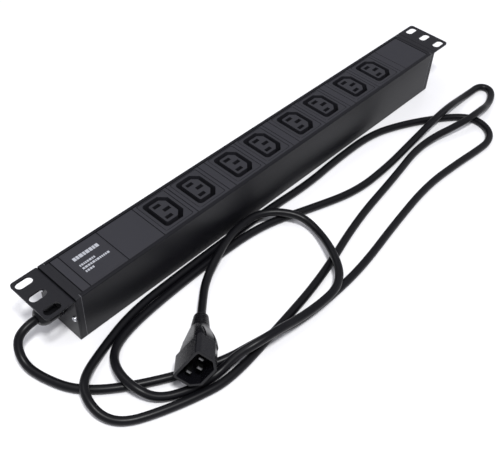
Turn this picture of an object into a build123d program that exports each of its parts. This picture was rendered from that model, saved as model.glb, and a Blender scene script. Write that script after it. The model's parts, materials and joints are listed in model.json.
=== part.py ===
"""Rack power strip: a channel extrusion with snap-in socket modules, rack brackets and a mains lead.

Millimetres. X runs along the strip, Z points out of the sockets, and the origin is the centre of the
strip's back, on the surface that it lies on. The lead leaves the -X end and lies in loose loops on the
-Y side.
"""

import os
from math import pi, radians, tan

from build123d import *

os.makedirs("parts", exist_ok=True)

# ---------------------------------------------------------------- driving dimensions

RACK_WIDTH = 482.6          # over both brackets, 19 inch
SLOT_SPACING_X = 465.1      # rack hole columns
SLOT_SPACING_Y = 15.875     # rack hole pitch, a third of a height unit
SLOT_LENGTH, SLOT_WIDTH = 13.5, 6.9

BODY_WIDTH = 43.7
BODY_HEIGHT = 44.4
PROFILE_LENGTH = 425.6
CAP_LENGTH = 4.2            # collar of an end cap, outside the profile
CAP_WALL = 2.0
WALL = 1.6
LIP_INNER_Y = 19.0          # half the opening between the lips
LEDGE_INNER_Y = 17.6        # half the opening between the ledges that carry the modules
LEDGE_THICK = 1.5
EDGE_R = 1.0
SCREW_Y, SCREW_Z = 19.0, 23.0
SCREW_CHANNEL_R = 2.5
SCREW_R = 1.45

BRACKET_THICK = 1.5
BRACKET_TOP = 44.0
BRACKET_BOTTOM = 0.6
EAR_WIDTH = 43.4
EAR_CORNER_R = 3.0
BEND_R = 2.5
SCREW_HEAD_R, SCREW_HEAD_H, SCREW_LENGTH = 2.2, 1.6, 14.0
CROSS_WIDTH, CROSS_TURN = 0.6, 30   # cross recess of a screw

MODULE_PITCH = 34.69        # sockets, blanks and the label panel
FILLER_PITCH = 7.36         # narrow strips between the socket pairs
SEAM = 0.5
ROW_START = -208.92
PLATE_WIDTH = 37.4
PLATE_THICK = 2.6
PLATE_TOP = 44.1
PLATE_EDGE = 0.25           # bevel round the top of a plate and of an insert
SKIRT_DEPTH = 9.0
SKIRT_Y = 17.4              # outer face of a module's snap-in skirts
SKIRT_THICK = 1.1
SKIRT_MARGIN = 1.5          # a skirt stops short of its plate's ends

LABEL_LENGTH, LABEL_WIDTH, LABEL_R, LABEL_THICK = 32.2, 35.2, 0.6, 0.25
LABEL_FIT = 0.05            # clearance round the label in its recess

SOCKET_Y = 0.6              # the sockets sit a little behind the middle line
INSERT_X, INSERT_Y, INSERT_R = 27.4, 34.1, 1.5
INSERT_BODY_X, INSERT_BODY_Y = 25.4, 31.0
INSERT_FLANGE = 1.3
FIT = 0.1                   # clearance round a fitted piece
WINDOW_GAP = 0.4            # clearance round an insert
INSERT_BOTTOM = 25.7
GROOVE_X, GROOVE_Y, GROOVE_CUT, GROOVE_R = 22.3, 29.6, 6.0, 3.5
ISLAND_X, ISLAND_Y, ISLAND_CUT, ISLAND_R = 14.6, 21.9, 4.0, 1.6
GROOVE_DEPTH = 16.5
CONTACT_SLOT_X, CONTACT_SLOT_Y = 6.6, 3.3
PIN_OFFSET_X = 2.0          # line and neutral towards -X, earth towards +X
PIN_OFFSET_Y = 7.0

BUSBAR_WIDTH, BUSBAR_THICK = 4.6, 1.0
BUSBAR_Z = 22.5
BUSBAR_START, BUSBAR_END = -152.0, 166.0
LEAF_X, LEAF_THICK, LEAF_TOP = 5.0, 0.35, 37.0
LEAF_Y = 1.05               # each leaf's distance from its pin's middle
CARRIER_WIDTH, CARRIER_WALL, RIB_WIDTH, RIB_TOP = 28.0, 2.0, 1.6, 25.2
CARRIER_START, CARRIER_END = -146.0, 172.0

GLAND_Z = 22.2
GLAND_THREAD_R, GLAND_THREAD_LENGTH = 5.9, 10.0
GLAND_HEX_AF, GLAND_HEX_END = 15.6, 222.8
GLAND_SLEEVE_R, GLAND_SLEEVE_END = 6.0, 230.0
DOME_START, DOME_CURVE, DOME_END = 223.1, 231.0, 237.8
DOME_R, DOME_MOUTH_R = 8.0, 4.7
DOME_BULGE_X, DOME_BULGE_R = 235.6, 6.9     # a point half way round the dome
FLUTES, FLUTE_R, FLUTE_DEPTH, FLUTE_START, FLUTE_LENGTH = 12, 1.1, 0.6, 224.6, 7.0
SEAL_END = 234.0
CABLE_HOLE_R = 3.45
LOCKNUT_THICK = 3.5

CORD_D = 6.6
JACKET_END = -196.0         # the sheath is stripped back to here, inside the housing
WIRE_R, WIRE_RUN, WIRE_RISE = 1.15, 9.0, 2.0
WIRE_BEND_R, BOND_BEND_R = 8.0, 4.0
STUD_X, STUD_R, STUD_TOP = -180.0, 1.95, 12.0
LUG_R, LUG_THICK, LUG_TAIL_LENGTH, LUG_TAIL_WIDTH = 4.2, 1.0, 8.5, 3.4
NUT_AF, NUT_THICK = 7.0, 3.2

PLUG_LENGTH = 57.0
PLUG_ROLL = 144             # degrees about its own length, from lying level
SHROUD_X, SHROUD_Y, SHROUD_CUT, SHROUD_R, SHROUD_LENGTH = 20.6, 28.8, 6.2, 3.0, 19.0
CAVITY_X, CAVITY_Y, CAVITY_CUT, CAVITY_R, CAVITY_DEPTH = 16.9, 24.9, 4.8, 1.5, 17.0
PIN_BASE_THICK = 3.0
PIN_THICK, PIN_WIDTH, PIN_TIP_DEPTH, PIN_BEVEL = 2.0, 4.0, 3.2, 0.5
# the grip's sections: distance from the open end, the two widths and the corner radius
GRIP = [(19.0, 19.6, 26.4, 5.4), (27.0, 18.2, 24.6, 6.0), (35.0, 16.2, 18.8, 5.4), (41.0, 14.8, 15.6, 6.8)]
GRIP_GROOVE_X, GRIP_GROOVE_WIDTH, GRIP_GROOVE_DEPTH = 4.0, 1.5, 0.9
RIDGE_DEPTH, RIDGE_X, RIDGE_Y, RIDGE_R, RIDGE_THICK = 32.5, 15.6, 22.4, 5.0, 2.2    # a finger stop
RIDGE_SHIFT = -1.5          # it stands out on one side only
RELIEF_START, RELIEF_R, RELIEF_END_R, RELIEF_ROUND = 40.5, 7.4, 5.6, 0.8
RELIEF_GROOVES, RELIEF_GROOVE_WIDTH, RELIEF_GROOVE_DEPTH = 5, 1.3, 1.1

END_X = PROFILE_LENGTH / 2 + CAP_LENGTH     # outer face of an end cap
FACE_X = END_X + BRACKET_THICK              # outer face of a bracket's upright plate
PLATE_BOTTOM = PLATE_TOP - PLATE_THICK
LEDGE_Z = PLATE_BOTTOM                      # the modules rest on the ledges

# ---------------------------------------------------------------- the row of modules

ROW = [
    "filler", "label", "blank", "socket", "socket", "filler", "socket", "socket",
    "filler", "socket", "socket", "filler", "socket", "socket", "filler", "blank",
]


def row_centres():
    """Where each module of ROW is centred along X, as (kind, x)."""
    places, x = [], ROW_START
    for kind in ROW:
        pitch = FILLER_PITCH if kind == "filler" else MODULE_PITCH
        places.append((kind, x + pitch / 2))
        x += pitch
    return places


PLACES = row_centres()
SOCKETS_X = [x for kind, x in PLACES if kind == "socket"]
FILLERS_X = [x for kind, x in PLACES if kind == "filler"]
BLANKS_X = [x for kind, x in PLACES if kind == "blank"]
LABEL_X = next(x for kind, x in PLACES if kind == "label")
ROW_END = max(x for kind, x in PLACES) + MODULE_PITCH / 2


def save(builder, label, color=None):
    """Name a finished sub-part and write it to its own STEP file."""
    part = builder.part
    part.label = label
    if color:
        part.color = Color(*color)
    export_step(part, f"parts/{label}.step")
    print(f"{label:24s} {len(part.solids()):2d} solids  {part.volume:10.1f} mm3")


SIDES = [(-1, "left"), (1, "right")]
DARK, BLACK, STEEL, BRASS = (0.2, 0.2, 0.22), (0.08, 0.08, 0.09), (0.7, 0.7, 0.72), (0.8, 0.65, 0.3)

# ---------------------------------------------------------------- housing profile

CHANNEL_HALF = [
    (0, 0), (BODY_WIDTH / 2, 0), (BODY_WIDTH / 2, BODY_HEIGHT), (LIP_INNER_Y, BODY_HEIGHT),
    (LIP_INNER_Y, LEDGE_Z), (LEDGE_INNER_Y, LEDGE_Z), (LEDGE_INNER_Y, LEDGE_Z - LEDGE_THICK),
    (BODY_WIDTH / 2 - WALL, LEDGE_Z - LEDGE_THICK), (BODY_WIDTH / 2 - WALL, WALL), (0, WALL),
]


def channel_section(screw_hole_r):
    """The channel's cross-section, with its two screw channels: sketch x is the strip's Y, sketch y its Z."""
    with BuildSketch() as section:
        with BuildLine():
            Polyline(*CHANNEL_HALF, close=True)
        make_face()
        mirror(about=Plane.YZ)
        fillet([v for v in section.vertices() if abs(v.X) > BODY_WIDTH / 2 - 0.01], EDGE_R)
        bridge = BODY_WIDTH / 2 - WALL - SCREW_Y + SCREW_CHANNEL_R
        for side in (-1, 1):
            with Locations((side * SCREW_Y, SCREW_Z)):
                Circle(SCREW_CHANNEL_R)
            with Locations((side * (BODY_WIDTH / 2 - WALL / 2 - bridge / 2), SCREW_Z)):
                Rectangle(bridge, SCREW_CHANNEL_R)
            with Locations((side * SCREW_Y, SCREW_Z)):
                Circle(screw_hole_r, mode=Mode.SUBTRACT)
    return section.sketch


with BuildPart() as housing_profile:
    with BuildSketch(Plane.YZ.offset(-PROFILE_LENGTH / 2)):
        add(channel_section(SCREW_R + FIT / 2))
    extrude(amount=PROFILE_LENGTH)
save(housing_profile, "housing_profile", DARK)

# ---------------------------------------------------------------- end caps


def end_cap(side):
    """A cap with the profile's outline, an end wall, and a tongue that closes the top beside the row."""
    tongue_inner = abs(ROW_START if side < 0 else ROW_END) + SEAM
    tongue_length = END_X - CAP_WALL - tongue_inner
    with BuildPart() as cap:
        with BuildSketch(Plane.YZ.offset(side * END_X)):
            with Locations((0, BODY_HEIGHT / 2)):
                RectangleRounded(BODY_WIDTH, BODY_HEIGHT, EDGE_R)
        extrude(amount=-side * CAP_WALL)
        with BuildSketch(Plane.YZ.offset(side * (END_X - CAP_WALL))):
            with Locations((0, BODY_HEIGHT / 2)):
                RectangleRounded(BODY_WIDTH, BODY_HEIGHT, EDGE_R)
                Rectangle(2 * LEDGE_INNER_Y, BODY_HEIGHT - 2 * WALL, mode=Mode.SUBTRACT)
        extrude(amount=-side * (CAP_LENGTH - CAP_WALL))
        with BuildSketch(Plane.XY.offset(PLATE_BOTTOM)):
            with Locations((side * (tongue_inner + tongue_length / 2), 0)):
                Rectangle(tongue_length, PLATE_WIDTH)
        extrude(amount=PLATE_THICK)
        with Locations(Plane.YZ.offset(side * END_X)):
            with Locations((-SCREW_Y, SCREW_Z), (SCREW_Y, SCREW_Z)):
                Hole(SCREW_R + FIT, depth=2 * CAP_LENGTH)
            if side < 0:
                with Locations((0, GLAND_Z)):
                    Hole(GLAND_THREAD_R + FIT, depth=2 * CAP_LENGTH)
    return cap


for side, name in SIDES:
    save(end_cap(side), f"end_cap_{name}", BLACK)

# ---------------------------------------------------------------- rack brackets and their screws


def rack_bracket(side):
    """An upright plate on the end cap, bent outwards at the top into an ear with three rack slots."""
    ear_bottom = BRACKET_TOP - BRACKET_THICK
    with BuildPart() as bracket:
        with BuildSketch(Plane.XZ) as profile:
            with BuildLine():
                Polyline(
                    (side * END_X, BRACKET_BOTTOM), (side * FACE_X, BRACKET_BOTTOM),
                    (side * FACE_X, ear_bottom), (side * RACK_WIDTH / 2, ear_bottom),
                    (side * RACK_WIDTH / 2, BRACKET_TOP), (side * END_X, BRACKET_TOP), close=True,
                )
            make_face()
            outer_corner = profile.vertices().sort_by_distance((side * END_X, BRACKET_TOP))[0]
            fillet(outer_corner, BEND_R)
            inner_corner = profile.vertices().sort_by_distance((side * FACE_X, ear_bottom))[0]
            fillet(inner_corner, BEND_R - BRACKET_THICK)
        extrude(amount=EAR_WIDTH / 2, both=True)
        tip_edges = bracket.edges().filter_by(Axis.Z).filter_by_position(
            Axis.X, side * RACK_WIDTH / 2 - 0.1, side * RACK_WIDTH / 2 + 0.1)
        fillet(tip_edges, EAR_CORNER_R)
        with BuildSketch(Plane.XY.offset(ear_bottom)):
            with Locations((side * SLOT_SPACING_X / 2, 0)):
                with GridLocations(0, SLOT_SPACING_Y, 1, 3):
                    SlotOverall(SLOT_LENGTH, SLOT_WIDTH)
        extrude(amount=BRACKET_THICK, mode=Mode.SUBTRACT)
        with Locations(Plane.YZ.offset(side * FACE_X)):
            with Locations((-SCREW_Y, SCREW_Z), (SCREW_Y, SCREW_Z)):
                Hole(SCREW_R + FIT, depth=2 * BRACKET_THICK)
            if side < 0:
                with Locations((0, GLAND_Z)):
                    Hole(GLAND_THREAD_R + FIT, depth=2 * BRACKET_THICK)
    return bracket


def bracket_screws(side):
    """Two pan-head screws with cross recesses, one each side of the end face."""
    with BuildPart() as screws:
        head_plane = Plane.YZ.offset(side * FACE_X)
        with BuildSketch(head_plane):
            with Locations((-SCREW_Y, SCREW_Z), (SCREW_Y, SCREW_Z)):
                Circle(SCREW_HEAD_R)
        extrude(amount=side * SCREW_HEAD_H)
        rims = screws.edges().filter_by(GeomType.CIRCLE).sort_by(Axis.X)
        fillet(rims[-2:] if side > 0 else rims[:2], SCREW_HEAD_H / 2)
        with BuildSketch(head_plane.offset(side * SCREW_HEAD_H)):
            with Locations((-SCREW_Y, SCREW_Z), (SCREW_Y, SCREW_Z)):
                Rectangle(SCREW_HEAD_R, CROSS_WIDTH, rotation=CROSS_TURN)
                Rectangle(SCREW_HEAD_R, CROSS_WIDTH, rotation=CROSS_TURN + 90)
        extrude(amount=-side * SCREW_HEAD_H / 2, mode=Mode.SUBTRACT)
        with BuildSketch(head_plane):
            with Locations((-SCREW_Y, SCREW_Z), (SCREW_Y, SCREW_Z)):
                Circle(SCREW_R)
        extrude(amount=-side * SCREW_LENGTH)
    return screws


for side, name in SIDES:
    save(rack_bracket(side), f"rack_bracket_{name}", BLACK)
    save(bracket_screws(side), f"bracket_screws_{name}", STEEL)

# ---------------------------------------------------------------- socket modules


def keyed_outline(size_x, size_y, cut, radius):
    """The connector's outline: cut corners towards +X, the earth side, and round ones towards -X."""
    with BuildSketch() as outline:
        Rectangle(size_x, size_y)
        fillet(outline.vertices().group_by(Axis.X)[0], radius)
        chamfer(outline.vertices().group_by(Axis.X)[-1], cut)
    return outline.sketch


PIN_PLACES = [(-PIN_OFFSET_X, -PIN_OFFSET_Y), (-PIN_OFFSET_X, PIN_OFFSET_Y), (PIN_OFFSET_X, 0)]


def module_plate(x, pitch, window=False, label_recess=False):
    """A cover plate between the lips, with two skirts that snap under the ledges."""
    with BuildPart() as plate:
        with BuildSketch(Plane.XY.offset(PLATE_BOTTOM)):
            with Locations((x, 0)):
                Rectangle(pitch - SEAM, PLATE_WIDTH)
        extrude(amount=PLATE_THICK)
        chamfer(plate.faces().sort_by(Axis.Z)[-1].edges(), PLATE_EDGE)
        skirt_y = SKIRT_Y - SKIRT_THICK / 2
        with BuildSketch(Plane.XY.offset(PLATE_BOTTOM)):
            with Locations((x, -skirt_y), (x, skirt_y)):
                Rectangle(pitch - SEAM - 2 * SKIRT_MARGIN, SKIRT_THICK)
        extrude(amount=-SKIRT_DEPTH)
        if window:
            with BuildSketch(Plane.XY.offset(PLATE_TOP)):
                with Locations((x, SOCKET_Y)):
                    RectangleRounded(
                        INSERT_X + 2 * WINDOW_GAP, INSERT_Y + 2 * WINDOW_GAP, INSERT_R + WINDOW_GAP)
            extrude(amount=-INSERT_FLANGE, mode=Mode.SUBTRACT)
            with BuildSketch(Plane.XY.offset(PLATE_TOP)):
                with Locations((x, SOCKET_Y)):
                    Rectangle(INSERT_BODY_X + 2 * WINDOW_GAP, INSERT_BODY_Y + 2 * WINDOW_GAP)
            extrude(amount=-PLATE_THICK, mode=Mode.SUBTRACT)
        if label_recess:
            with BuildSketch(Plane.XY.offset(PLATE_TOP)):
                with Locations((x, 0)):
                    RectangleRounded(LABEL_LENGTH + 2 * LABEL_FIT, LABEL_WIDTH + 2 * LABEL_FIT, LABEL_R)
            extrude(amount=-LABEL_THICK, mode=Mode.SUBTRACT)
    return plate


def socket_insert(x):
    """A snap-in outlet: a flange, a body, the groove for the plug's shroud, and three contact slots."""
    with BuildPart() as insert:
        with BuildSketch(Plane.XY.offset(PLATE_TOP)):
            with Locations((x, SOCKET_Y)):
                RectangleRounded(INSERT_X, INSERT_Y, INSERT_R)
        extrude(amount=-INSERT_FLANGE)
        chamfer(insert.faces().sort_by(Axis.Z)[-1].edges(), PLATE_EDGE)
        with BuildSketch(Plane.XY.offset(INSERT_BOTTOM)):
            with Locations((x, SOCKET_Y)):
                Rectangle(INSERT_BODY_X, INSERT_BODY_Y)
        extrude(amount=PLATE_TOP - INSERT_FLANGE - INSERT_BOTTOM)
        with BuildSketch(Plane.XY.offset(PLATE_TOP)):
            with Locations((x, SOCKET_Y)):
                add(keyed_outline(GROOVE_X, GROOVE_Y, GROOVE_CUT, GROOVE_R))
                add(keyed_outline(ISLAND_X, ISLAND_Y, ISLAND_CUT, ISLAND_R), mode=Mode.SUBTRACT)
        extrude(amount=-GROOVE_DEPTH, mode=Mode.SUBTRACT)
        with BuildSketch(Plane.XY.offset(PLATE_TOP)):
            with Locations((x, SOCKET_Y)):
                with Locations(*PIN_PLACES):
                    Rectangle(CONTACT_SLOT_X, CONTACT_SLOT_Y)
        extrude(amount=INSERT_BOTTOM - PLATE_TOP, mode=Mode.SUBTRACT)
    return insert


for number, x in enumerate(SOCKETS_X, start=1):
    save(module_plate(x, MODULE_PITCH, window=True), f"socket_frame_{number}", DARK)
    save(socket_insert(x), f"socket_insert_{number}", BLACK)

for number, x in enumerate(FILLERS_X, start=1):
    save(module_plate(x, FILLER_PITCH), f"filler_strip_{number}", DARK)

for name, x in zip(("left", "right"), BLANKS_X):
    save(module_plate(x, MODULE_PITCH), f"blank_panel_{name}", DARK)

# ---------------------------------------------------------------- label panel

save(module_plate(LABEL_X, MODULE_PITCH, label_recess=True), "label_panel", DARK)

with BuildPart() as label_plate:
    with BuildSketch(Plane.XY.offset(PLATE_TOP - LABEL_THICK)):
        with Locations((LABEL_X, 0)):
            RectangleRounded(LABEL_LENGTH, LABEL_WIDTH, LABEL_R)
    extrude(amount=LABEL_THICK)
save(label_plate, "label_plate", BLACK)

# ---------------------------------------------------------------- bus bars and their carrier

with BuildPart() as busbar_carrier:
    with BuildSketch(Plane.YZ.offset(CARRIER_START)):
        with Locations((SOCKET_Y, (WALL + BUSBAR_Z) / 2)):
            Rectangle(CARRIER_WIDTH, BUSBAR_Z - WALL)
        with Locations((SOCKET_Y, (WALL + BUSBAR_Z - CARRIER_WALL) / 2)):
            Rectangle(CARRIER_WIDTH - 2 * CARRIER_WALL, BUSBAR_Z - CARRIER_WALL - WALL, mode=Mode.SUBTRACT)
        with Locations((SOCKET_Y, (BUSBAR_Z + RIB_TOP) / 2)):
            with GridLocations(PIN_OFFSET_Y, 0, 2, 1):
                Rectangle(RIB_WIDTH, RIB_TOP - BUSBAR_Z)
    extrude(amount=CARRIER_END - CARRIER_START)
save(busbar_carrier, "busbar_carrier", (0.85, 0.85, 0.8))


def busbar(pin_x, pin_y):
    """A brass strip under the whole row, with a pair of spring leaves standing up in each socket."""
    y = SOCKET_Y + pin_y
    with BuildPart() as bar:
        with BuildSketch(Plane.XY.offset(BUSBAR_Z)):
            with Locations(((BUSBAR_START + BUSBAR_END) / 2, y)):
                Rectangle(BUSBAR_END - BUSBAR_START, BUSBAR_WIDTH)
        extrude(amount=BUSBAR_THICK)
        with BuildSketch(Plane.XY.offset(BUSBAR_Z)):
            for x in SOCKETS_X:
                with Locations((x + pin_x, y - LEAF_Y), (x + pin_x, y + LEAF_Y)):
                    Rectangle(LEAF_X, LEAF_THICK)
        extrude(amount=LEAF_TOP - BUSBAR_Z)
    return bar


POLES = ["line", "neutral", "earth"]
for pole, (pin_x, pin_y) in zip(POLES, PIN_PLACES):
    save(busbar(pin_x, pin_y), f"busbar_{pole}", BRASS)

# ---------------------------------------------------------------- cable gland

GLAND_AXIS = Axis((0, 0, GLAND_Z), (1, 0, 0))
OUTWARDS = Plane(origin=(0, 0, GLAND_Z), x_dir=(-1, 0, 0), z_dir=(0, 1, 0))

with BuildPart() as gland_body:
    with BuildSketch(Plane.YZ.offset(-FACE_X)):
        with Locations((0, GLAND_Z)):
            RegularPolygon(GLAND_HEX_AF / 2, 6, major_radius=False)
    extrude(amount=FACE_X - GLAND_HEX_END)
    with BuildSketch(Plane.YZ.offset(-GLAND_HEX_END)):
        with Locations((0, GLAND_Z)):
            Circle(GLAND_SLEEVE_R)
    extrude(amount=GLAND_HEX_END - GLAND_SLEEVE_END)
    with BuildSketch(Plane.YZ.offset(-FACE_X)):
        with Locations((0, GLAND_Z)):
            Circle(GLAND_THREAD_R)
    extrude(amount=GLAND_THREAD_LENGTH)
    with BuildSketch(Plane.YZ.offset(-GLAND_SLEEVE_END)):
        with Locations((0, GLAND_Z)):
            Circle(CABLE_HOLE_R)
    extrude(amount=GLAND_SLEEVE_END, mode=Mode.SUBTRACT)
save(gland_body, "gland_body", BLACK)

with BuildPart() as gland_dome_nut:
    with BuildSketch(OUTWARDS):
        with BuildLine():
            Polyline(
                (DOME_CURVE, DOME_R), (DOME_START, DOME_R), (DOME_START, GLAND_SLEEVE_R + 2 * FIT),
                (SEAL_END, GLAND_SLEEVE_R + 2 * FIT), (SEAL_END, CABLE_HOLE_R), (DOME_END, CABLE_HOLE_R),
                (DOME_END, DOME_MOUTH_R),
            )
            ThreePointArc((DOME_CURVE, DOME_R), (DOME_BULGE_X, DOME_BULGE_R), (DOME_END, DOME_MOUTH_R))
        make_face()
    revolve(axis=GLAND_AXIS)
    with BuildSketch(Plane.YZ.offset(-FLUTE_START)):
        with Locations((0, GLAND_Z)):
            with PolarLocations(DOME_R + FLUTE_R - FLUTE_DEPTH, FLUTES):
                Circle(FLUTE_R)
    extrude(amount=-FLUTE_LENGTH, mode=Mode.SUBTRACT)
save(gland_dome_nut, "gland_dome_nut", BLACK)

with BuildPart() as gland_seal:
    with BuildSketch(Plane.YZ.offset(-GLAND_SLEEVE_END - FIT)):
        with Locations((0, GLAND_Z)):
            Circle(GLAND_SLEEVE_R)
            Circle(CORD_D / 2 + FIT / 2, mode=Mode.SUBTRACT)
    extrude(amount=GLAND_SLEEVE_END + 2 * FIT - SEAL_END)
save(gland_seal, "gland_seal", (0.3, 0.3, 0.3))

with BuildPart() as gland_locknut:
    with BuildSketch(Plane.YZ.offset(-END_X + CAP_WALL)):
        with Locations((0, GLAND_Z)):
            RegularPolygon(GLAND_HEX_AF / 2, 6, major_radius=False)
            Circle(GLAND_THREAD_R + FIT / 2, mode=Mode.SUBTRACT)
    extrude(amount=LOCKNUT_THICK)
save(gland_locknut, "gland_locknut", STEEL)

# ---------------------------------------------------------------- wiring inside the housing

with BuildPart() as cord_tail:
    with BuildSketch(Plane.YZ.offset(-DOME_END)):
        with Locations((0, GLAND_Z)):
            Circle(CORD_D / 2)
    extrude(amount=DOME_END + JACKET_END)
save(cord_tail, "cord_tail", BLACK)

BAR_TOP = BUSBAR_Z + BUSBAR_THICK
WIRE_PLACES = [(-1.5, GLAND_Z + 0.8), (1.5, GLAND_Z + 0.8), (0, GLAND_Z - 1.7)]
WIRE_COLORS = [(0.35, 0.2, 0.1), (0.1, 0.25, 0.7), (0.2, 0.6, 0.15)]


def tube(points, radius, bends):
    """A round wire or cable along straight runs joined by tangent arcs."""
    with BuildPart() as line:
        with BuildLine():
            path = FilletPolyline(*points, radius=bends)
        with BuildSketch(Plane(origin=path @ 0, z_dir=path % 0)):
            Circle(radius)
        sweep()
    return line


for pole, (pin_x, pin_y), (y, z), color in zip(POLES, PIN_PLACES, WIRE_PLACES, WIRE_COLORS):
    bar_y = SOCKET_Y + pin_y
    route = [
        (JACKET_END, y, z), (JACKET_END + WIRE_RUN, y, z),
        (BUSBAR_START - 1.5 * WIRE_RUN, bar_y, BAR_TOP + WIRE_R + WIRE_RISE),
        (BUSBAR_START, bar_y, BAR_TOP + WIRE_R), (BUSBAR_START + WIRE_RUN, bar_y, BAR_TOP + WIRE_R),
    ]
    save(tube(route, WIRE_R, WIRE_BEND_R), f"wire_{pole}", color)

with BuildPart() as earth_stud:
    with BuildSketch(Plane.XY.offset(WALL)):
        with Locations((STUD_X, 0)):
            Circle(STUD_R)
    extrude(amount=STUD_TOP - WALL)
save(earth_stud, "earth_stud", STEEL)

with BuildPart() as earth_lug:
    with BuildSketch(Plane.XY.offset(WALL)):
        with Locations((STUD_X, 0)):
            Circle(LUG_R)
        with Locations((STUD_X + LUG_TAIL_LENGTH / 2, 0)):
            Rectangle(LUG_TAIL_LENGTH, LUG_TAIL_WIDTH)
        with Locations((STUD_X, 0)):
            Circle(STUD_R + FIT / 2, mode=Mode.SUBTRACT)
    extrude(amount=LUG_THICK)
save(earth_lug, "earth_lug", STEEL)

with BuildPart() as earth_nut:
    with BuildSketch(Plane.XY.offset(WALL + LUG_THICK)):
        with Locations((STUD_X, 0)):
            RegularPolygon(NUT_AF / 2, 6, major_radius=False)
            Circle(STUD_R + FIT / 2, mode=Mode.SUBTRACT)
    extrude(amount=NUT_THICK)
save(earth_nut, "earth_nut", STEEL)

bond_low = WALL + LUG_THICK + WIRE_R
bond_high = BUSBAR_Z - WIRE_R
bond_start = STUD_X + NUT_AF
bond_end = BUSBAR_START + BUSBAR_WIDTH
bond_route = [
    (bond_start, 0, bond_low), (bond_start + WIRE_RUN, 0, bond_low),
    (bond_end - WIRE_RUN, SOCKET_Y, bond_high), (bond_end, SOCKET_Y, bond_high),
]
save(tube(bond_route, WIRE_R, BOND_BEND_R), "wire_bond", WIRE_COLORS[-1])

# ---------------------------------------------------------------- the lead's route

FLOOR = CORD_D / 2
OVER = 10.6                 # over one other stretch
OVER_TWO = 17.0
CORD_ROUTE = [
    # out of the gland and down, then towards the plug
    (-237.8, 0, 22.2), (-247.2, 0, 22.2), (-257, -1.4, 15.4), (-261, -13, 5.4), (-258, -30, FLOOR),
    (-249, -53, FLOOR), (-228, -73, FLOOR),
    # under the plug, over the second stretch
    (-192, -94.5, FLOOR), (-160, -108.5, FLOOR), (-141, -116.5, OVER), (-119, -121.3, OVER),
    (-97, -123.3, FLOOR), (-58, -125.2, FLOOR),
    # to the right-hand loop
    (-18, -123.4, FLOOR), (38, -113.8, FLOOR), (96, -106, FLOOR), (142, -108.8, FLOOR),
    (168, -111.6, FLOOR), (189, -112.6, FLOOR), (202.5, -105, FLOOR), (208.5, -90.5, FLOOR),
    (204.5, -75.5, FLOOR),
    # back along the strip
    (181, -57.5, FLOOR), (150, -40.5, FLOOR), (116, -28.7, FLOOR), (66, -28.6, FLOOR),
    (22, -31.5, FLOOR), (-34, -28, FLOOR), (-124, -28.3, FLOOR), (-178, -30, FLOOR), (-216, -41, FLOOR),
    # outer left-hand loop
    (-242.5, -54.8, 11.2), (-250.3, -68.6, 10), (-249.7, -83.7, 4.6), (-241, -96.5, FLOOR),
    (-221, -106.3, FLOOR), (-194, -116, FLOOR), (-168, -122.3, FLOOR),
    # along the middle, over the right-hand loop
    (-118, -117, FLOOR), (-52, -108.3, FLOOR), (18, -88.8, FLOOR), (84, -79.5, FLOOR),
    (140, -69.3, FLOOR), (189, -84.2, OVER), (216.5, -85.2, OVER),
    # tight fold at the right
    (234, -82.6, 4.5), (248, -78.7, FLOOR), (257.2, -73.8, FLOOR), (261, -68, FLOOR), (259.5, -61.8, FLOOR),
    (254, -58.6, FLOOR), (242.5, -58.4, FLOOR), (225, -58, 4.2),
    # back again
    (197, -60.6, 10.7), (170, -62, 10.7), (132, -62.5, FLOOR), (92, -66.6, FLOOR), (46, -67, FLOOR),
    (2, -53.2, FLOOR), (-44, -36.5, FLOOR), (-104, -34.9, FLOOR), (-162, -36.8, FLOOR),
    # inner left-hand loop
    (-196, -41.2, FLOOR), (-213, -50.5, 6), (-222, -67, 10.7), (-222.5, -84.5, 10.7),
    (-214.5, -99, 4.2), (-193, -109.6, FLOOR), (-172, -113.2, FLOOR),
    # up over two stretches
    (-156, -114.8, 11), (-141, -120.8, OVER_TWO), (-122, -123.8, 17.2), (-100, -125.4, 11.6),
    (-78, -127, 10.3), (-58, -126.6, 10.3), (-45, -120, 10),
    # small loop
    (-36, -110, OVER), (-27, -94.5, OVER), (-18, -77, 6.3), (-15.5, -62, 7.5), (-20.5, -51, 10.7),
    (-31, -37, 10.7), (-45, -29.5, 10.3), (-64, -29.6, 10.2),
    # into the plug
    (-78, -32.3, 10.7), (-94, -38, 10.7), (-119, -47.8, 5.6), (-139.8, -65.3, 8.5), (-150.1, -74.8, 12.2),
]

# ---------------------------------------------------------------- plug on the lead

PLUG_POINTS = (Vector(CORD_ROUTE[-1]) - Vector(CORD_ROUTE[-2])).normalized()
PLUG_FACE = Vector(CORD_ROUTE[-1]) + PLUG_POINTS * PLUG_LENGTH     # middle of the shroud's open end
LEVEL_SIDE = PLUG_POINTS.cross(Vector(0, 0, 1)).normalized()
EARTH_SIDE = LEVEL_SIDE.rotate(Axis((0, 0, 0), PLUG_POINTS), PLUG_ROLL)
PLUG = Plane(origin=PLUG_FACE, x_dir=EARTH_SIDE, z_dir=PLUG_POINTS)


def grip_groove(x, side):
    """The solid to take out for a groove along the grip, on its narrow face on that side."""
    skin = [(side * size_y / 2, -depth) for depth, size_x, size_y, radius in GRIP[:3]]
    outer = [(y + side, z) for y, z in skin]
    inner = [(y - side * GRIP_GROOVE_DEPTH, z) for y, z in reversed(skin)]
    with BuildPart() as groove:
        with BuildSketch(Plane.YZ.offset(x - GRIP_GROOVE_WIDTH / 2)):
            with BuildLine():
                Polyline(*outer, *inner, close=True)
            make_face()
        extrude(amount=GRIP_GROOVE_WIDTH)
    return PLUG * groove.part


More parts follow.
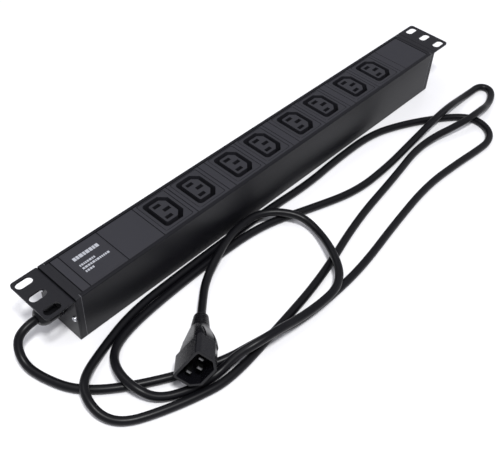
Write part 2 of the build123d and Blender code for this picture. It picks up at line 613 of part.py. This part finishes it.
with BuildPart() as plug_body:
    with BuildSketch(PLUG):
        add(keyed_outline(SHROUD_X, SHROUD_Y, SHROUD_CUT, SHROUD_R))
    extrude(amount=-SHROUD_LENGTH)
    for depth, size_x, size_y, radius in GRIP:
        with BuildSketch(PLUG.offset(-depth)):
            RectangleRounded(size_x, size_y, radius)
    loft()
    with BuildSketch(PLUG.offset(-RIDGE_DEPTH)):
        with Locations((0, RIDGE_SHIFT)):
            RectangleRounded(RIDGE_X, RIDGE_Y, RIDGE_R)
    extrude(amount=RIDGE_THICK)
    with BuildSketch(PLUG.offset(-RELIEF_START)):
        Circle(RELIEF_R)
    with BuildSketch(PLUG.offset(-PLUG_LENGTH)):
        Circle(RELIEF_END_R)
    loft()
    cable_end = plug_body.faces().sort_by(Axis(PLUG_FACE, PLUG_POINTS))[0]
    fillet(cable_end.edges(), RELIEF_ROUND)
    for side_x in (-GRIP_GROOVE_X, GRIP_GROOVE_X):
        for side_y in (-1, 1):
            add(grip_groove(side_x, side_y), mode=Mode.SUBTRACT)
    for groove in range(1, RELIEF_GROOVES + 1):
        along = groove / (RELIEF_GROOVES + 1)
        with BuildSketch(PLUG.offset(-RELIEF_START - along * (PLUG_LENGTH - RELIEF_START))):
            Circle(RELIEF_R)
            Circle(RELIEF_R - along * (RELIEF_R - RELIEF_END_R) - RELIEF_GROOVE_DEPTH, mode=Mode.SUBTRACT)
        extrude(amount=-RELIEF_GROOVE_WIDTH, mode=Mode.SUBTRACT)
    with BuildSketch(PLUG):
        add(keyed_outline(CAVITY_X, CAVITY_Y, CAVITY_CUT, CAVITY_R))
    extrude(amount=-CAVITY_DEPTH - PIN_BASE_THICK, mode=Mode.SUBTRACT)
save(plug_body, "plug_body", BLACK)

with BuildPart() as plug_pin_base:
    with BuildSketch(PLUG.offset(-CAVITY_DEPTH)):
        add(keyed_outline(CAVITY_X - FIT, CAVITY_Y - FIT, CAVITY_CUT, CAVITY_R))
        with Locations(*PIN_PLACES):
            Rectangle(PIN_WIDTH, PIN_THICK, mode=Mode.SUBTRACT)
    extrude(amount=-PIN_BASE_THICK)
save(plug_pin_base, "plug_pin_base", BLACK)


def plug_pin(place):
    """A flat pin with a bevelled tip."""
    with BuildPart() as pin:
        with BuildSketch(PLUG.offset(-CAVITY_DEPTH - PIN_BASE_THICK)):
            with Locations(place):
                Rectangle(PIN_WIDTH, PIN_THICK)
        extrude(amount=CAVITY_DEPTH + PIN_BASE_THICK - PIN_TIP_DEPTH)
        tip = pin.faces().sort_by(Axis(PLUG_FACE, PLUG_POINTS))[-1]
        chamfer(tip.edges(), PIN_BEVEL)
    return pin


for pole, place in zip(POLES, PIN_PLACES):
    save(plug_pin(place), f"plug_pin_{pole}", STEEL)

# ---------------------------------------------------------------- the lead


def bend_radii(route):
    """The largest tangent arc that each corner's two runs leave room for."""
    radii = []
    for before, corner, after in zip(route, route[1:], route[2:]):
        run_in = Vector(corner) - Vector(before)
        run_out = Vector(after) - Vector(corner)
        half_turn = radians(run_in.get_angle(run_out) / 2)
        radii.append(0.45 * min(run_in.length, run_out.length) / tan(half_turn))
    return radii


cord_radii = bend_radii(CORD_ROUTE)
supply_cord = tube(CORD_ROUTE, CORD_D / 2, cord_radii)
save(supply_cord, "supply_cord", BLACK)

with BuildLine() as cord_line:
    FilletPolyline(*CORD_ROUTE, radius=cord_radii)
cord_length = cord_line.wire().length
section = pi * (CORD_D / 2) ** 2
print("cord length", round(cord_length, 1), "volume / (section x length)",
      round(supply_cord.part.volume / (section * cord_length), 5))
print("cord bend radii", [round(r, 1) for r in cord_radii])
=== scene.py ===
"""The looks of the rack power strip: its lead, its finishes, the marks on its label, and the studio.

Metres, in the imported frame: +X along the strip away from the cable gland, +Y away from the lead's loops,
and +Z up, out of the outlets.
"""

import json
import random
from math import radians

import bmesh
import bpy
from mathutils import Matrix, Vector


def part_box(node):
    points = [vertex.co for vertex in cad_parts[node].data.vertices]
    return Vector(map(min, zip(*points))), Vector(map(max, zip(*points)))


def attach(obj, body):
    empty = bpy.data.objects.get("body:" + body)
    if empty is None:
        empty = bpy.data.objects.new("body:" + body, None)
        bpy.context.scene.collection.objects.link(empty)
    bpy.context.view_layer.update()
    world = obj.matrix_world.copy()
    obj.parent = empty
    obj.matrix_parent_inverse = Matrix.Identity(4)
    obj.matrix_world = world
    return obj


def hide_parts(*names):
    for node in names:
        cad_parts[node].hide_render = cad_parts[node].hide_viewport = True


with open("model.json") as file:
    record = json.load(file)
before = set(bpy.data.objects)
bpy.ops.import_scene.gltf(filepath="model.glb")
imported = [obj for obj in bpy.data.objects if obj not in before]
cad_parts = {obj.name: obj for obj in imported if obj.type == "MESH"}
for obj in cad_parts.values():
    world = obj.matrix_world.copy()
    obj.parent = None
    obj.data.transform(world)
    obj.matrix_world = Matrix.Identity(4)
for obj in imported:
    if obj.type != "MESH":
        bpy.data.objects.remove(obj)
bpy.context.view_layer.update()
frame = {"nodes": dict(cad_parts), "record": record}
NODES = frame["nodes"]

# ---------------------------------------------------------------- camera

CAMERA_PLACE = Vector((-0.3977, -0.3281, 0.4748))
CAMERA_TARGET = Vector((-0.0624, -0.0407, 0.02))
CAMERA_ROLL = radians(3.52)
LENS = 57.5


def aimed(place, target, roll=0.0):
    """The world matrix of a camera or a light that stands at place and looks at target."""
    turn = (target - place).to_track_quat("-Z", "Y").to_matrix() @ Matrix.Rotation(roll, 3, "Z")
    return Matrix.Translation(place) @ turn.to_4x4()


camera = bpy.data.objects.new("camera", bpy.data.cameras.new("camera"))
camera.data.lens = LENS
camera.data.clip_start = 0.01
camera.matrix_world = aimed(CAMERA_PLACE, CAMERA_TARGET, CAMERA_ROLL)
bpy.context.collection.objects.link(camera)
bpy.context.scene.camera = camera

# ---------------------------------------------------------------- finishes

# a mix node's sockets in its color mode
FACTOR, COLOR_A, COLOR_B, COLOR_OUT = 0, 6, 7, 2
GRAIN_DETAIL, GRAIN_ROUGHNESS = 3.0, 0.6
PATCHES_PER_METRE, PATCH_DETAIL = 35.0, 2.0
EDGE_SAMPLES = 4


def mixed(tree, mask, low, high):
    """The color output of a mix by mask, of two colors or of the outputs of two other nodes."""
    mix = tree.nodes.new("ShaderNodeMix")
    mix.data_type = "RGBA"
    tree.links.new(mask, mix.inputs[FACTOR])
    for index, value in ((COLOR_A, low), (COLOR_B, high)):
        if isinstance(value, bpy.types.NodeSocket):
            tree.links.new(value, mix.inputs[index])
        else:
            mix.inputs[index].default_value = value
    return mix.outputs[COLOR_OUT]


def finish(name, color, roughness, metallic=0.0, specular=0.5, grain=0.0005, stretch=(1, 1, 1), tone=0.12,
           patches=0.08, rough_spread=0.06, relief=0.2, relief_height=0.00003, edge=0.0003):
    """A procedural finish. A fine grain varies the tone, the roughness and the relief, and broad patches
    vary the tone again. grain is the grain's size, stretch scales it per axis, and edge is the radius that
    edges look eased to."""
    material = bpy.data.materials.new(name)
    material.use_nodes = True
    tree = material.node_tree
    shader = tree.nodes["Principled BSDF"]

    def add(kind, **values):
        """A node of a kind, with values for its inputs, whose names have underscores here for spaces."""
        node = tree.nodes.new(kind)
        for key, value in values.items():
            node.inputs[key.replace("_", " ")].default_value = value
        return node

    place = tree.nodes.new("ShaderNodeTexCoord")
    scaled = add("ShaderNodeMapping", Scale=stretch)
    fine = add("ShaderNodeTexNoise", Scale=1 / grain, Detail=GRAIN_DETAIL, Roughness=GRAIN_ROUGHNESS)
    broad = add("ShaderNodeTexNoise", Scale=PATCHES_PER_METRE, Detail=PATCH_DETAIL)
    tree.links.new(place.outputs["Object"], scaled.inputs["Vector"])
    tree.links.new(scaled.outputs["Vector"], fine.inputs["Vector"])
    tree.links.new(place.outputs["Object"], broad.inputs["Vector"])

    def shade(factor):
        return (*(channel * factor for channel in color), 1)

    dark = mixed(tree, fine.outputs["Fac"], shade(1 - tone - patches), shade(1 + tone - patches))
    light = mixed(tree, fine.outputs["Fac"], shade(1 - tone + patches), shade(1 + tone + patches))
    tree.links.new(mixed(tree, broad.outputs["Fac"], dark, light), shader.inputs["Base Color"])

    rough = add("ShaderNodeMapRange", To_Min=roughness - rough_spread, To_Max=roughness + rough_spread)
    tree.links.new(fine.outputs["Fac"], rough.inputs["Value"])
    tree.links.new(rough.outputs["Result"], shader.inputs["Roughness"])

    bump = add("ShaderNodeBump", Strength=relief, Distance=relief_height)
    tree.links.new(fine.outputs["Fac"], bump.inputs["Height"])
    if edge:
        eased = tree.nodes.new("ShaderNodeBevel")
        eased.samples = EDGE_SAMPLES
        eased.inputs["Radius"].default_value = edge
        tree.links.new(eased.outputs["Normal"], bump.inputs["Normal"])
    tree.links.new(bump.outputs["Normal"], shader.inputs["Normal"])

    shader.inputs["Metallic"].default_value = metallic
    shader.inputs["Specular IOR Level"].default_value = specular
    return material


def bare_ends_with_painted_glint(material, distance, color):
    """Gives the finish a bare cut's lighter color further than a distance from the strip's middle, along X.
    The color is partly the bare metal and partly a painted glint along the cut.
    """
    tree = material.node_tree
    base = tree.nodes["Principled BSDF"].inputs["Base Color"]
    painted = base.links[0].from_socket
    place = tree.nodes.new("ShaderNodeTexCoord")
    split = tree.nodes.new("ShaderNodeSeparateXYZ")
    along = tree.nodes.new("ShaderNodeMath")
    along.operation = "ABSOLUTE"
    past = tree.nodes.new("ShaderNodeMath")
    past.operation = "GREATER_THAN"
    past.inputs[1].default_value = distance
    tree.links.new(place.outputs["Object"], split.inputs["Vector"])
    tree.links.new(split.outputs["X"], along.inputs[0])
    tree.links.new(along.outputs[0], past.inputs[0])
    # painted glint: the cut's lighter color replaces the finish past the distance
    tree.links.new(mixed(tree, past.outputs[0], painted, (*color, 1)), base)


DRAWN = (0.02, 1, 1)        # grain drawn out into long lines along the strip
FINISHES = {
    "housing": finish("housing_anodised", (0.0055, 0.0055, 0.0074), 0.4, specular=0.2, grain=0.0003,
                      stretch=DRAWN, tone=0.25, relief=0.25, relief_height=0.00002),
    "cap": finish("cap_plastic", (0.0095, 0.0095, 0.012), 0.5, specular=0.24, grain=0.0004, relief=0.3),
    "bracket": finish("bracket_powder_coat", (0.0075, 0.0075, 0.0098), 0.42, specular=0.24, grain=0.0009,
                      relief=0.35, relief_height=0.00005, edge=0.0004),
    "module": finish("module_plastic", (0.0192, 0.0192, 0.0242), 0.5, specular=0.33, grain=0.00045,
                     relief=0.35),
    "socket": finish("socket_plastic", (0.0185, 0.0185, 0.023), 0.46, specular=0.33, grain=0.0004,
                     relief=0.25),
    "label": finish("label_film", (0.0188, 0.0188, 0.0235), 0.48, specular=0.33, grain=0.0006, relief=0.1,
                    edge=0),
    "gland": finish("gland_nylon", (0.0045, 0.0045, 0.0057), 0.38, specular=0.2, grain=0.0007, relief=0.25),
    "cord": finish("cord_sheath", (0.0035, 0.0035, 0.0046), 0.36, specular=0.18, grain=0.0011, relief=0.3,
                   relief_height=0.00006, edge=0),
    "plug": finish("plug_moulding", (0.0045, 0.0045, 0.006), 0.26, specular=0.25, grain=0.0012, relief=0.2,
                   relief_height=0.00004, edge=0.0005),
    "seal": finish("seal_rubber", (0.012, 0.012, 0.012), 0.7, specular=0.3, grain=0.0005),
    "screw": finish("screw_plating", (0.62, 0.63, 0.66), 0.25, metallic=1.0, grain=0.0004, tone=0.06,
                    relief=0.1, edge=0.0002),
    # pins: the nickel is darkened far below its own color, as painted shade for the shade inside the plug's
    # shroud
    "pin": finish("pin_nickel_painted_shade", (0.15, 0.15, 0.15), 0.35, metallic=1.0, grain=0.0003, stretch=(0.2, 0.2, 1),
                  tone=0.06, relief=0.15, edge=0.0002),
    "contact": finish("contact_brass", (0.68, 0.45, 0.16), 0.3, metallic=1.0, grain=0.0004, stretch=DRAWN),
    "hardware": finish("zinc_plating", (0.55, 0.56, 0.58), 0.35, metallic=1.0, grain=0.0005, patches=0.15),
    "carrier": finish("carrier_nylon", (0.62, 0.6, 0.53), 0.5, grain=0.0006),
    "wire_brown": finish("wire_brown", (0.09, 0.03, 0.012), 0.4, grain=0.0006, edge=0),
    "wire_blue": finish("wire_blue", (0.012, 0.05, 0.3), 0.4, grain=0.0006, edge=0),
    "wire_green": finish("wire_green", (0.06, 0.3, 0.03), 0.4, grain=0.0006, edge=0),
}
PRINT = finish("label_print", (0.36, 0.37, 0.4), 0.5, specular=0.3, grain=0.0004, tone=0.1, relief=0.1,
               edge=0)

# the bare saw cut round each end of the profile: its lighter color is partly the bare metal and partly a
# painted glint along the cut
CUT_EDGE = 0.0003
CUT_GLINT_COLOR = (0.14, 0.14, 0.15)
profile_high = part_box("housing_profile")[1]
bare_ends_with_painted_glint(FINISHES["housing"], profile_high.x - CUT_EDGE, CUT_GLINT_COLOR)

for part in frame["record"]["subparts"]:
    node = NODES[part["node"]]
    for index in range(len(node.material_slots)):
        node.material_slots[index].material = FINISHES[part["material_slot"]]

# ---------------------------------------------------------------- the lead

CORD_D = 0.0066
# heights of the cord's middle: on the surface, over one other stretch, and over two
FLOOR = CORD_D / 2
OVER = 0.0106
OVER_TWO = 0.017
CORD_ROUTE = [
    # out of the gland and down, then towards the plug
    (-0.2378, 0, 0.0222), (-0.2472, 0, 0.0222), (-0.257, -0.0014, 0.0154), (-0.261, -0.013, 0.0054),
    (-0.258, -0.03, FLOOR), (-0.249, -0.053, FLOOR), (-0.228, -0.073, FLOOR),
    # under the plug, over the second stretch
    (-0.192, -0.0945, FLOOR), (-0.16, -0.1085, FLOOR), (-0.141, -0.1165, OVER), (-0.119, -0.1213, OVER),
    (-0.097, -0.1233, FLOOR), (-0.058, -0.1252, FLOOR),
    # to the right-hand loop
    (-0.018, -0.1234, FLOOR), (0.038, -0.1138, FLOOR), (0.096, -0.106, FLOOR), (0.142, -0.1088, FLOOR),
    (0.168, -0.1116, FLOOR), (0.189, -0.1126, FLOOR), (0.2025, -0.105, FLOOR), (0.2085, -0.0905, FLOOR),
    (0.2045, -0.0755, FLOOR),
    # back along the strip
    (0.181, -0.0575, FLOOR), (0.15, -0.0405, FLOOR), (0.116, -0.0287, FLOOR), (0.066, -0.0286, FLOOR),
    (0.022, -0.0315, FLOOR), (-0.034, -0.028, FLOOR), (-0.124, -0.0283, FLOOR), (-0.178, -0.03, FLOOR),
    (-0.216, -0.041, FLOOR),
    # outer left-hand loop
    (-0.2425, -0.0548, 0.0112), (-0.2503, -0.0686, 0.01), (-0.2497, -0.0837, 0.0046),
    (-0.241, -0.0965, FLOOR), (-0.221, -0.1063, FLOOR), (-0.194, -0.116, FLOOR),
    (-0.168, -0.1223, FLOOR),
    # along the middle, over the right-hand loop
    (-0.118, -0.117, FLOOR), (-0.052, -0.1083, FLOOR), (0.018, -0.0888, FLOOR), (0.084, -0.0795, FLOOR),
    (0.14, -0.0693, FLOOR), (0.189, -0.0842, OVER), (0.2165, -0.0852, OVER),
    # tight fold at the right
    (0.234, -0.0826, 0.0045), (0.248, -0.0787, FLOOR), (0.2572, -0.0738, FLOOR), (0.261, -0.068, FLOOR),
    (0.2595, -0.0618, FLOOR), (0.254, -0.0586, FLOOR), (0.2425, -0.0584, FLOOR), (0.225, -0.058, 0.0042),
    # back again
    (0.197, -0.0606, 0.0107), (0.17, -0.062, 0.0107), (0.132, -0.0625, FLOOR), (0.092, -0.0666, FLOOR),
    (0.046, -0.067, FLOOR), (0.002, -0.0532, FLOOR), (-0.044, -0.0365, FLOOR), (-0.104, -0.0349, FLOOR),
    (-0.162, -0.0368, FLOOR),
    # inner left-hand loop
    (-0.196, -0.0412, FLOOR), (-0.213, -0.0505, 0.006), (-0.222, -0.067, 0.0107),
    (-0.2225, -0.0845, 0.0107), (-0.2145, -0.099, 0.0042), (-0.193, -0.1096, FLOOR),
    (-0.172, -0.1132, FLOOR),
    # up over two stretches
    (-0.156, -0.1148, 0.011), (-0.141, -0.1208, OVER_TWO), (-0.122, -0.1238, 0.0172),
    (-0.1, -0.1254, 0.0116), (-0.078, -0.127, 0.0103), (-0.058, -0.1266, 0.0103), (-0.045, -0.12, 0.01),
    # small loop
    (-0.036, -0.11, OVER), (-0.027, -0.0945, OVER), (-0.018, -0.077, 0.0063), (-0.0155, -0.062, 0.0075),
    (-0.0205, -0.051, 0.0107), (-0.031, -0.037, 0.0107), (-0.045, -0.0295, 0.0103),
    (-0.064, -0.0296, 0.0102),
    # into the plug
    (-0.078, -0.0323, 0.0107), (-0.094, -0.038, 0.0107), (-0.119, -0.0478, 0.0056),
    (-0.1398, -0.0653, 0.0085), (-0.1501, -0.0748, 0.0122),
]


def cord_curve(name, route, diameter):
    """A round cord along a smooth line that has the route's points as its control points."""
    curve = bpy.data.curves.new(name, "CURVE")
    curve.dimensions = "3D"
    curve.bevel_depth = diameter / 2
    curve.bevel_resolution = 6
    curve.resolution_u = 12
    curve.use_fill_caps = True
    spline = curve.splines.new("NURBS")
    spline.points.add(len(route) - 1)
    for point, place in zip(spline.points, route):
        point.co = (*place, 1)
    spline.order_u = 3
    spline.use_endpoint_u = True
    cord = bpy.data.objects.new(name, curve)
    bpy.context.collection.objects.link(cord)
    return cord


lead = cord_curve("supply_lead", CORD_ROUTE, CORD_D)
lead.data.materials.append(FINISHES["cord"])
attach(lead, "root")
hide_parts("supply_cord")

# ---------------------------------------------------------------- the marks on the label

label_low, label_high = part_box("label_plate")
PRINT_THICK = 0.00004
MARKS_INSET = 0.0045                    # from the label's gland-side edge
MARK_GAP = 0.0005
MARK_SEED = 7
DASH_SHORTEST, DASH_LONGEST = 0.5, 1.1  # in heights of the row
# rows of plain dashes: height, length and distance of the row's middle from the label's middle, towards +Y
MARK_ROWS = [(0.0034, 0.0235, 0.0084), (0.0019, 0.0135, 0.0009), (0.0019, 0.025, -0.0026),
             (0.0019, 0.0078, -0.0061)]


def flat_box(mesh, low, high):
    """Adds a closed box between two corners to a bmesh."""
    size = high - low
    made = bmesh.ops.create_cube(mesh, size=1.0)
    bmesh.ops.scale(mesh, vec=size, verts=made["verts"])
    bmesh.ops.translate(mesh, vec=(low + high) / 2, verts=made["verts"])


def label_marks():
    """Rows of short printed dashes of uneven length, standing in for print without being any lettering."""
    draw = random.Random(MARK_SEED)
    mesh = bmesh.new()
    middle_y = (label_low.y + label_high.y) / 2
    for height, length, offset in MARK_ROWS:
        x = label_low.x + MARKS_INSET
        end = x + length
        y = middle_y + offset
        while x < end - height / 2:
            dash = min(height * draw.uniform(DASH_SHORTEST, DASH_LONGEST), end - x)
            flat_box(mesh, Vector((x, y - height / 2, label_high.z)),
                     Vector((x + dash, y + height / 2, label_high.z + PRINT_THICK)))
            x += dash + MARK_GAP
    data = bpy.data.meshes.new("label_marks")
    mesh.to_mesh(data)
    mesh.free()
    marks = bpy.data.objects.new("label_marks", data)
    bpy.context.collection.objects.link(marks)
    marks.data.materials.append(PRINT)
    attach(marks, "root")


label_marks()

# ---------------------------------------------------------------- floor and light

FLOOR_SIZE = 12.0
bpy.ops.mesh.primitive_plane_add(size=FLOOR_SIZE)
floor = bpy.context.object
floor.name = "floor"
paper = bpy.data.materials.new("floor_paper")
paper.use_nodes = True
paper_shader = paper.node_tree.nodes["Principled BSDF"]
paper_shader.inputs["Base Color"].default_value = (0.9, 0.9, 0.91, 1)
paper_shader.inputs["Roughness"].default_value = 0.25
paper_shader.inputs["IOR"].default_value = 1.5
floor.data.materials.append(paper)

world = bpy.data.worlds.new("studio")
bpy.context.scene.world = world
world.use_nodes = True
world.node_tree.nodes["Background"].inputs["Color"].default_value = (0.98, 0.98, 1.06, 1)
world.node_tree.nodes["Background"].inputs["Strength"].default_value = 0.53


def softbox(name, place, target, width, height, power):
    """A rectangular studio light."""
    light = bpy.data.lights.new(name, "AREA")
    light.shape = "RECTANGLE"
    light.size = width
    light.size_y = height
    light.energy = power
    box = bpy.data.objects.new(name, light)
    box.matrix_world = aimed(Vector(place), Vector(target))
    bpy.context.collection.objects.link(box)


softbox("key_light", (-0.44, -0.6, 1.68), (-0.1, -0.02, 0), 0.3, 0.3, 28)
softbox("back_light", (-0.3, 0.8, 1.6), (0, 0, 0), 0.9, 0.7, 4)
softbox("side_light", (0.95, -0.55, 0.5), (0.15, -0.05, 0.02), 0.5, 0.4, 0.5)

bpy.context.scene.view_settings.view_transform = "Standard"
